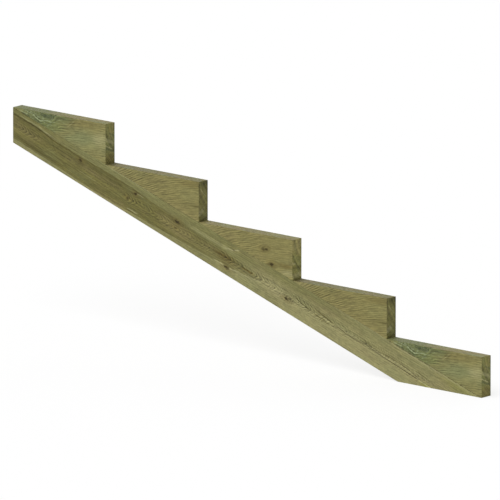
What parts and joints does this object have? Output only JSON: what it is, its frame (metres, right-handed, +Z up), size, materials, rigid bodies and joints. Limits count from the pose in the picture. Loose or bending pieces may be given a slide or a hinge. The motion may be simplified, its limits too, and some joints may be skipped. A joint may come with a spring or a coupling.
{
  "type": "stair stringer",
  "caption": "Saw-tooth stair stringer of treated softwood: a sloping carriage beam with wedge-shaped step blocks fixed along its upper edge, cut plumb at the top and level at the foot.",
  "frame": {"origin": "on the ground plane of the level foot, under the middle of the run and in the middle of the timber's thickness", "axes": "+X along the run, down the flight towards the toe; +Y across the timber's thickness; +Z up"},
  "size_m": [1.875, 0.042, 0.625],
  "materials": {
    "beam_timber": "planed pressure-treated softwood, unpainted",
    "block_timber": "planed pressure-treated softwood, unpainted",
    "screw_steel": "satin stainless steel"
  },
  "bodies": {
    "root": {"carriage_beam": "beam_timber", "step_block_1": "block_timber", "step_block_2": "block_timber", "step_block_3": "block_timber", "step_block_4": "block_timber", "step_block_5": "block_timber", "block_screws": "screw_steel", "foot_screws": "screw_steel"}
  },
  "joints": []
}
